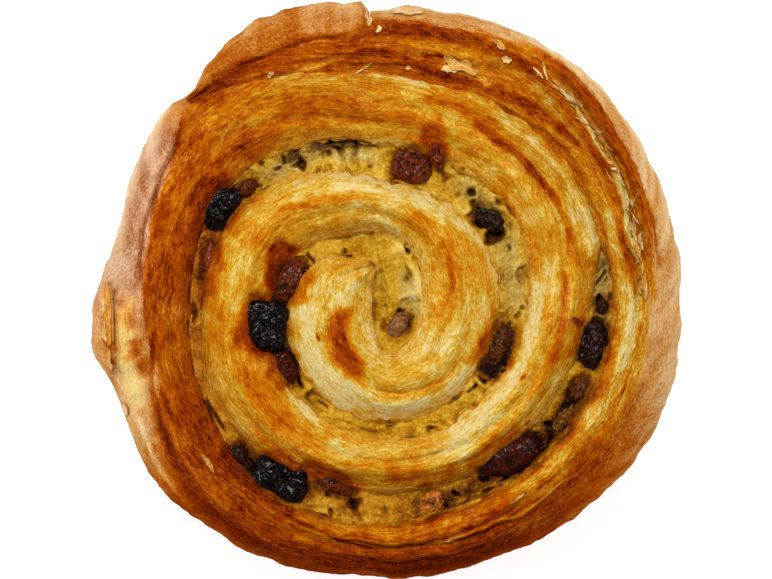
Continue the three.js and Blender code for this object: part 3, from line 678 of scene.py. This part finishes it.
# Strands are painted paler, partly as painted highlight along their ridges.
for pattern, level, amount in ((strands, 0.25, -0.28), (fibres, 0.3, 0.08), (streaks, 0.5, 0.55)):
    shift = shift + (pattern - level) * amount * cut_share
browning = baked_share + shift
face_colour = browning.ramp(
    (0, 230, 210, 146), (0.1, 222, 188, 84), (0.22, 214, 162, 40), (0.34, 208, 138, 20), (0.46, 200, 114, 8),
    (0.6, 182, 84, 2), (0.8, 148, 49, 0), (1, 84, 22, 0))
soaked_colour = browning.ramp(
    (0, 232, 202, 130), (0.14, 222, 178, 80), (0.32, 204, 142, 34), (0.6, 172, 98, 10), (1, 100, 44, 4))
skin_colour = browning.ramp(
    (0.18, 226, 192, 144), (0.42, 198, 144, 84), (0.64, 172, 92, 14), (0.84, 146, 56, 0), (1, 88, 26, 0))
# Painted sheen colours: paler and greyer than the skin's own, over its browning.
painted_sheen_colour = browning.ramp(
    (0.2, 226, 198, 162), (0.5, 198, 154, 120), (0.74, 156, 94, 56), (1, 116, 46, 12))
crust_colour = skin_share.mixed(
    soaked_share.mixed(face_colour, soaked_colour), painted_sheen_share.mixed(skin_colour, painted_sheen_colour))
# Painted highlights: pale flecks in the colour, here thick, there thin, stand in for glints of light off tiny
# blisters. The same noise bumps the blisters.
blisters_and_glints = place.noise(2300, 3, 0.7)
painted_glint_level = blisters_and_glints + place.noise(170, 2) * 0.7 - 0.92 + skin_share * 0.07
painted_glint_share = (painted_glint_level * 4).at_least(0).at_most(0.45) * (1 - browning).at_least(0.05)
# The pale fleck colour below is the painted highlight.
coat(shader, painted_glint_share.mixed(crust_colour, srgb(234, 170, 78)), specks * 0.4 + (skin_share * 0.4 + 0.08), 0,
     height=cut_share * (strands * 0.3 + fibres * -0.3) + blisters_and_glints, strength=0.9, distance=0.00035)
dough.data.materials.append(crust)
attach(dough, "root")
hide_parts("dough")

# ---- The pastry cream ----
# Vanilla pastry cream, spread on the strip before it was rolled. It fills the middle and every open seam,
# boiled up grainy in the oven, sank as it cooled and left bubbles, cracks and a brown edge by the raisins.

cream_end = 738
pocket_height = 27.6
cream_step = 0.3
cream_columns = 30

# Brown stains: from angle, to angle, radii, half the width, amount. Angles run along the seam.
cream_stains = [
    (112, 160, (11, 12.5, 16.5), 2, 0.35), (145, 222, (17.5, 20.5, 22.5), 3.5, 0.6),
    (222, 310, (22.6, 23.4, 22.4), 3, 0.14), (318, 352, (22, 22), 3, 0.5),
    (448, 505, (29, 33, 34.5), 2.6, 0.15), (455, 482, (29.5, 33.5), 1.2, 0.4),
    (500, 582, (35.5, 36.5, 38), 3, 0.1), (519, 534, (34.8, 36), 2.2, 0.3), (578, 612, (39, 39), 4, 0.45),
    (612, 640, (37.5, 37.5), 4, 0.25), (636, 705, (37.5, 37, 37.6), 3, 0.45),
    # The last two stains on the next line darken the pocket's sunken middle, as painted shade.
    (700, 738, (38.5, 40), 2.5, 0.2), (-220, -120, (2, 4, 4), 2.5, 0.25), (-90, -40, (4, 4.5), 2.5, 0.4),
    (40, 60, (11, 11), 1.5, 0.3)]
# Greyed, translucent stretches.
cream_greys = [
    (350, 430, (22, 24, 26.5), 3, 0.6), (452, 500, (27.5, 31.5, 34), 3, 0.7),
    (708, 738, (38.5, 40), 2, 0.8), (-40, 84, (3.4, 3.6, 6.6), 2.6, 0.6)]
# Stretches as golden as the dough beside them.
cream_golds = [
    (496, 590, (35.5, 36.6, 38.2), 4, 0.9), (590, 640, (38.8, 37.4), 4, 0.4), (715, 745, (39, 41), 4, 0.5)]
# The soft bank of cream along the right of the pocket.
cream_banks = [
    (12, 92, (4.4, 6.2, 8.6, 11.4), 1.2, 1.1)]
# Cracks, and gaps where the cream has shrunk from the dough: the last number is depth.
cream_cracks = [
    (212, 224, (21.6, 22.2), 0.45, 1.6), (232, 239, (22.4, 22.8), 0.3, 0.8),
    (244, 270, (23.4, 23.9, 23.6), 0.3, 0.4), (299, 307, (20.9, 21.2), 0.3, 1.3),
    (310, 318, (21.3, 21.5), 0.35, 1.4), (128, 141, (11.9, 13), 0.35, 1.2),
    (452, 478, (29, 33.8), 0.5, 1.1), (539, 546, (36.8, 36.8), 0.35, 1.4),
    (566, 578, (38.9, 39.4), 0.4, 1.6), (640, 700, (39.6, 38.8, 39), 0.4, 1.2),
    (52, 72, (6.6, 7.8), 0.4, 1.2)]
# Burst bubbles: angle, radius, half the width, depth.
cream_bubbles = [
    (33.5, 22.9, 1.6, 3.5), (43, 22.7, 1.4, 3), (55, 25.7, 1.1, 2.5), (38, 25, 0.7, 1.2),
    (123.5, 31, 1.2, 3), (114, 30, 0.7, 1.2), (129, 33.4, 0.6, 1.4), (77, 10.8, 0.7, 2), (5, 5, 0.6, 1.2),
    (-25, 2.2, 0.8, 1.4), (195, 1.2, 0.6, 0.8), (60, 6.6, 0.9, 1), (215, 21.9, 0.8, 2.5),
    (357, 24.8, 0.6, 1.2), (330, 24, 0.9, 2), (322, 22, 0.8, 2), (2, 38.2, 0.9, 2.5)]
# How far the middle of the cream swells above its edges: angle, height.
swell = np.array([
    (-255, -0.9), (104, -0.9), (112, -0.5), (150, 0.2), (230, 0.5), (330, 0.3), (370, -0.7), (430, -0.8),
    (480, -0.6), (520, 0.3), (570, 0.5), (600, 0.4), (700, 0.2), (738, 0)])

pocket_angles = stations(-255, 104.99, cream_step, lambda middle_angle: curve(pocket, middle_angle + 360))
seam_angles = stations(105.01, cream_end, cream_step, lambda middle_angle: curve(seam, middle_angle))
angle = np.concatenate([pocket_angles, seam_angles])[:, None]
in_pocket = angle < 105
gap = curve(seam, angle, 2)
inner = np.where(in_pocket, 0, curve(seam, angle) - gap)
outer = np.where(in_pocket, curve(pocket, angle + 360), curve(seam, angle) + gap)
along = np.cumsum(np.radians(np.diff(angle, axis=0, prepend=angle[:1])) * np.maximum(outer, 4), axis=0)
drawn_back = 1 - ease(angle, cream_end - 12, cream_end)
inner_spill, outer_spill = [drawn_back * np.maximum(
    0.65 + grains(along, 0, (0.75, 2.6, 1, seed), (0.25, 0.9, 1, seed + 1)), 0.12) for seed in (41, 43)]
at_left = span(angle, 494, 504, 590, 602)
inner_spill, outer_spill = [spill * (1 - 0.7 * at_left) for spill in (inner_spill, outer_spill)]
inner_spill = np.minimum(inner_spill, 0.5 * inner) * blend(0.3, 1, ease(angle, 140, 160))
over_tip = 1.8 * (1 - ease(angle, tongue_angle + 2, tongue_angle + 8))
inner_spill = np.where(in_pocket, 0, np.maximum(inner_spill, over_tip))
outer_spill = outer_spill * np.where(angle < -120, 0.35, 1)
across = np.linspace(0, 1, cream_columns + 1)[None, :]
top_radius = blend(inner - inner_spill, outer + outer_spill, across)
here_x, here_y = turned(top_radius, 0, angle)
warp_x, warp_y = [grains(here_x, here_y, (0.7, 1.9, 1.9, seed)) for seed in (46, 47)]
bent_x, bent_y = here_x + warp_x, here_y + warp_y
curds = sum(np.abs(grains(bent_x, bent_y, (amount, size, size, seed)))
            for amount, size, seed in ((0.7, 2.6, 48), (0.4, 1.2, 49)))
curds = curds + grains(bent_x, bent_y, (0.25, 0.6, 0.6, 50))
soft = span(angle, -252, -235, 84, 103) * ease(top_radius, 0.3, 1.8)
soft_lumps = grains(bent_x, bent_y, (0.75, 2.4, 2.4, 53), (0.35, 0.9, 0.9, 54))
lumps = blend(curds - 0.4, soft_lumps, soft)
pores = np.clip(-0.55 - grain((here_x + 1.5 * warp_x) / 1.7, (here_y + 1.5 * warp_y) / 1.7, 51), 0, 0.5) * 4
holes = pores * (1 - 0.8 * at_left) * (1 - 0.8 * soft)
for bubble_angle, bubble_radius, half_width, depth in cream_bubbles:
    bubble_x, bubble_y = turned(bubble_radius, 0, bubble_angle)
    away = np.hypot(here_x + 1.3 * warp_x - bubble_x, here_y + 1.3 * warp_y - bubble_y)
    holes = holes + depth * (1 - ease(away / half_width, 0.3, 1.1))
cracks = along_marks(cream_cracks, angle, top_radius + 0.8 * warp_x)
banks = along_marks(cream_banks, angle, top_radius + 0.8 * warp_x)
beds = from_raisins(here_x, here_y) + 0.8 * warp_y
seam_top = blend(pocket_height, seam_height(np.maximum(angle, 105)) + 0.1, ease(angle, 105, 150))
top_z = seam_top + lumps + banks - holes - cracks + curve(swell, angle) * np.sin(np.pi * across)
top_z = top_z - 0.3 * (1 - ease(beds, 0, 1))
past_inner = (inner - top_radius) / np.maximum(inner_spill, 0.01)
past_outer = (top_radius - outer) / np.maximum(outer_spill, 0.01)
past_edge = np.maximum(past_inner, past_outer)
film = 0.3 * np.clip(1 - past_edge, 0, 1) ** 0.7 - 0.06 + 0.1 * grain(here_x, here_y, 52)
on_inner = dough_top(np.maximum(angle, tongue_angle), top_radius) + film
on_outer = dough_top(angle + 360, top_radius) + film
top_z = np.where(past_inner > 0, np.maximum(top_z, on_inner), top_z)
top_z = np.where(past_outer > 0, np.maximum(top_z, on_outer), top_z)

recess = 0.15  # of the cream's foot, above the foot of the dough
cream_radius = np.hstack([inner, top_radius[:, :1], top_radius, top_radius[:, -1:], outer,
                          blend(inner, outer, 0.5), inner])
foot_z = 0 * inner + recess
cream_z = np.hstack([foot_z, 0.6 * top_z[:, :1], top_z, 0.6 * top_z[:, -1:], foot_z, foot_z, foot_z])
# Brown stains from the table; browner beside the raisins, partly scorched and partly painted shade; paler on
# raised lumps and banks and darker in bubbles and cracks, as painted light and shade.
stain_and_shade = 0.3 + 0.9 * along_marks(cream_stains, angle, top_radius) - 0.2 * lumps - 0.22 * banks
stain_and_shade += 0.27 * np.clip(holes, 0, 2) + 0.3 * np.clip(cracks, 0, 2) + 0.3 * (1 - ease(beds, 0, 1.3))
grey = along_marks(cream_greys, angle, top_radius + warp_y)
gold = np.clip(along_marks(cream_golds, angle, top_radius + warp_y), 0.8 * np.clip(past_edge, 0, 1), 1)
pad = ((0, 0), (2, 4))
cream = wound_mesh("baked_cream", angle, cream_radius, cream_z, {
    "tint": [np.pad(share, pad, mode="edge") for share in (stain_and_shade, grey, gold)]})

custard, shader, place = new_material("baked_custard")
stained_and_shaded, greyed, gilded = place.attribute("tint").split()
specks = place.noise(1700, 4, 0.7)
# The stain share carries the cream's stains and its painted shade together.
cooked_and_shaded = stained_and_shaded + ((specks - 0.5) * 0.85 + (place.noise(260, 3, 0.5) - 0.5) * 0.7)
yellow_cream = cooked_and_shaded.ramp(
    (0, 222, 190, 96), (0.2, 206, 164, 46), (0.42, 180, 128, 14), (0.68, 120, 64, 5), (1, 24, 9, 3))
grey_cream = cooked_and_shaded.ramp((0, 216, 200, 142), (0.3, 178, 154, 80), (0.6, 116, 88, 34), (1, 30, 18, 8))
golden_cream = cooked_and_shaded.ramp((0, 216, 164, 74), (0.3, 190, 118, 24), (0.6, 142, 68, 6), (1, 44, 16, 3))
coat(shader, greyed.mixed(gilded.mixed(yellow_cream, golden_cream), grey_cream), 0.36, 0.05,
     height=specks, strength=0.8, distance=0.0004)
cream.data.materials.append(custard)
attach(cream, "root")
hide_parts("pastry_cream")

# ---- The raisins ----
# Dried grapes, sunk in the cream along the seams. Their skins shrank into folds, blistered black where they
# stood proud in the oven, and stayed red-brown where cream and dough covered them.

# How square each is, the size and depth of its folds, the colours of its hollows and crests.
raisin_looks = [
    (0.5, 2.1, 1.2, (3, 2, 2), (12, 8, 7)), (0, 1.1, 0.4, (22, 5, 2), (70, 26, 6)),
    (1.2, 2, 1.1, (3, 2, 2), (12, 7, 6)), (0.1, 1.9, 0.9, (18, 5, 2), (74, 28, 8)),
    (0.1, 1.4, 0.9, (16, 4, 2), (58, 16, 6)), (0.4, 1.6, 1.2, (18, 4, 2), (84, 30, 8)),
    (0, 1.1, 0.8, (30, 6, 2), (92, 32, 6)), (0.1, 1.4, 1.2, (6, 3, 2), (32, 18, 10)),
    (0.1, 1.7, 0.6, (24, 9, 2), (70, 32, 5)), (0, 2.6, 0.2, (58, 28, 12), (112, 76, 44)),
    (0.2, 1.5, 0.8, (6, 3, 2), (34, 15, 9)), (0, 0.9, 0.5, (14, 5, 3), (44, 20, 10)),
    (0.1, 1.2, 0.6, (24, 9, 3), (84, 42, 10)), (0, 1.3, 0.5, (34, 16, 4), (104, 64, 18)),
    (0, 2.8, 0.9, (12, 3, 2), (50, 14, 5)), (0.1, 1.9, 0.6, (70, 26, 6), (150, 84, 20)),
    (0.9, 2.1, 1.3, (3, 2, 2), (12, 8, 7)), (0.1, 1.2, 0.7, (8, 3, 2), (38, 14, 9)),
    (0, 1.4, 0.6, (34, 9, 3), (84, 34, 10)), (0, 1.2, 0.5, (50, 14, 3), (104, 40, 10))]

raisin_ripple = 0.17  # height of the finer wrinkles
raisin_crumple = 0.6  # and the size of the finest


def dried(direction, square, fold_size, fold_depth, half_sizes, seed):
    """A point of a raisin's skin, in millimetres from its middle."""
    x, y, z = direction
    power = 2 + 2.5 * square
    rounded = (abs(x) ** power + abs(y) ** power + abs(z) ** power) ** (-1 / power)
    point = Vector((x * half_sizes[0], y * half_sizes[1], z * half_sizes[2])) * rounded
    at = point / fold_size + Vector((seed * 7.1, seed * 3.7, seed * 5.3))
    bent = at + 0.5 * noise.noise_vector(at * 0.7)
    fold = 1 - 2 * math.sqrt(noise.noise(bent) ** 2 + 0.006)
    ripple = 1 - 2 * math.sqrt(noise.noise(bent * 2.3) ** 2 + 0.006)
    crumple = noise.noise(point / raisin_crumple + bent)
    lump = noise.noise(at * 0.5)
    rough = raisin_ripple * min(1, 2 * fold_depth)
    push = fold_depth * (0.5 * fold - 0.35) + rough * (ripple + 0.6 * crumple) + 0.6 * fold_depth * lump
    return point * (1 + push / point.length), fold + 0.5 * ripple + 0.6 * crumple


def raisin_skin(name, hollow, crown):
    """Wet wrinkled skin, dark in the folds."""
    material, shader, place = new_material(name)
    mottle = place.noise(700, 4)
    colour = (place.attribute("fold", "Fac") * 0.6 + mottle * 0.5).ramp(
        (0.1, *hollow), (0.75, *crown), (1, *[1.3 * value for value in crown]))
    # Painted glints: pale pin-pricks in the colour stand in for highlights on the wet skin.
    glint = ((place.noise(2600, 2, 0.5) - 0.66) * 9).at_least(0).at_most(0.6)
    coat(shader, glint.mixed(colour, srgb(128, 108, 92)), mottle * 0.14 + 0.04, 0.11,
         height=mottle + place.noise(1100, 2) * 0.8, strength=1, distance=0.00013)
    return material


small_raisin = 5.5  # shorter ones have fewer faces
noise.seed_set(4)  # so that the folds are the same every time
for number, (bed, look) in enumerate(zip(raisin_beds, raisin_looks), 1):
    at_angle, at_radius, length, breadth, thickness, turn, rise = bed
    square, fold_size, fold_depth, hollow, crown = look
    half_sizes = (length / 2, breadth / 2, thickness / 2)
    shape = bmesh.new()
    bmesh.ops.create_icosphere(shape, subdivisions=6 if length > small_raisin else 5, radius=1)
    fold_layer = shape.verts.layers.float.new("fold")
    cream_z = pocket_height if at_radius < seam[0, 1] else float(seam_height(at_angle))
    bed_x, bed_y = turned(at_radius, 0, at_angle)
    centre = Vector((roll_centre[0] + bed_x, roll_centre[1] + bed_y, cream_z + 0.3 + rise - thickness / 2))
    for vert in shape.verts:
        point, fold = dried(vert.co.normalized(), square, fold_size, fold_depth, half_sizes, number)
        vert[fold_layer] = fold
        vert.co = (centre + Vector((*turned(point.x, point.y, turn), point.z))) * MM
    raisin = new_piece(f"dried_grape_{number:02d}", shape)
    raisin.data.materials.append(raisin_skin(f"grape_skin_{number:02d}", hollow, crown))
    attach(raisin, "root")
    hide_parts(f"raisin_{number:02d}")

# ---- Loose flakes and crumbs ----
# Slivers of the thin browned layers that tore loose as the pastry rose and lie on the crust, crisp and
# curled: pale ones in the hollows, amber ones where the egg wash ran and set at the side.

# Angle, radius, length, width, turn from the strip, how far it stands up, how far its edges curl, colour.
pale, golden, amber, dark_red = (232, 190, 118), (206, 150, 60), (214, 142, 40), (112, 34, 10)
flakes = [
    (1154, 46.2, 7, 2, -8, 0.4, 0.6, golden), (1156, 45.2, 3.6, 1.4, 15, 0.4, 0.7, pale),
    (1144.9, 50.3, 1.9, 1.1, 20, 0.3, 0.5, pale), (1147.4, 52.4, 2.6, 1.2, -30, 0.5, 0.7, golden),
    (1172.7, 51.4, 1.5, 0.8, 80, 0.3, 0.4, pale), (1166, 44.2, 1.1, 0.6, 0, 0.3, 0.3, pale),
    (1177, 44.2, 4.4, 0.3, 27, 0.5, 0.3, pale), (1197.9, 48.4, 1.6, 0.7, 10, 0.3, 0.4, pale),
    (1167, 55, 6.5, 1.3, 0, 0.2, 0.7, golden), (1174.6, 53.8, 3.3, 1.1, 90, 0.2, 0.5, golden),
    (902, 53.3, 12.6, 1.4, 1, 0.3, 0.8, amber), (902, 52.4, 11, 0.5, 0, 0.5, 0.4, golden),
    (900, 54, 3.2, 0.7, 0, 0.4, 0.6, pale), (906, 54.2, 2.8, 0.8, 5, 0.4, 0.6, pale),
    (911, 54.2, 4.4, 1.4, -6, 0.3, 0.8, amber), (921.5, 54, 2.4, 1.2, 0, 0.2, 0.8, amber),
    (866.3, 51, 1.6, 0.3, 70, 0.3, 0.2, pale), (1004, 45, 4.2, 0.4, -3, 0.2, 0.5, golden),
    (1023, 42.8, 4, 0.5, 6, 0.3, 0.5, golden), (941, 45, 4, 0.8, -10, 0.3, 0.6, golden),
    (715, 34.5, 2, 1, 60, 0.4, 0.5, dark_red)]
# Torn layers strewn along the hollow at the upper right.
hollow_start, hollow_stop, hollow_radii = 1083, 1138, (46.8, 46.9, 47.6, 48.6, 49.7, 50.6, 51.6)
torn_layers = 64
dice = np.random.default_rng(7)
for share in np.sort(dice.uniform(0, 1, torn_layers)):
    bed_radius = float(np.interp(share, np.linspace(0, 1, len(hollow_radii)), hollow_radii))
    flakes.append((
        hollow_start + share * (hollow_stop - hollow_start), bed_radius + dice.normal(0, 0.55),
        dice.uniform(1.0, 4.2), dice.uniform(0.25, 0.7), dice.normal(0, 26), dice.uniform(0.15, 0.6),
        dice.uniform(0.2, 0.7), (golden, pale, pale, amber)[dice.integers(4)]))


def flake_skin(name, colour):
    """Thin crisp pastry, browner in places."""
    material, shader, place = new_material(name)
    blotches = place.noise(900, 4, 0.7)
    coat(shader, blotches.ramp((0.3, *[0.72 * value for value in colour]), (0.55, *colour)), 0.3, 0.3)
    return material


flake_finishes = {colour: flake_skin(name, colour) for name, colour in (
    ("flake_pale", pale), ("flake_golden", golden), ("flake_amber", amber), ("flake_red", dark_red))}
flake_columns, flake_rows = 16, 5
flake_thickness = 0.12
for index, (at_angle, at_radius, length, breadth, turn, lift, curl, colour) in enumerate(flakes):
    shape = bmesh.new()
    bmesh.ops.create_grid(shape, x_segments=flake_columns, y_segments=flake_rows, size=1)
    bed_x, bed_y = turned(at_radius, 0, at_angle)
    for vert in shape.verts:
        u, v, _ = vert.co
        ragged = 1 - 0.75 * abs(u) ** 3 + 0.3 * noise.noise(Vector((4 * u, 2 * v, 7.3 * index)))
        bend = 0.35 * breadth * noise.noise(Vector((1.7 * u, 0, 5.1 * index)))
        off_x, off_y = turned(0.5 * length * u, 0.5 * breadth * v * ragged + bend, at_angle + 90 + turn)
        x, y = bed_x + off_x, bed_y + off_y
        here_angle = at_angle + (math.degrees(math.atan2(y, x)) - at_angle + 180) % 360 - 180
        on_crust = float(dough_top(here_angle, math.hypot(x, y)))
        buckle = 0.35 * lift * (1 + noise.noise(Vector((2.5 * u, 1.5 * v, 3.9 * index))))
        z = on_crust + lift * (1 - 0.6 * u ** 2) + curl * v ** 2 + buckle
        vert.co = Vector((roll_centre[0] + x, roll_centre[1] + y, z)) * MM
    bmesh.ops.solidify(shape, geom=shape.faces, thickness=flake_thickness * MM)
    bmesh.ops.recalc_face_normals(shape, faces=shape.faces)
    flake = new_piece(f"flake_{index + 1:02d}", shape)
    flake.data.materials.append(flake_finishes[colour])
    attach(flake, "root")
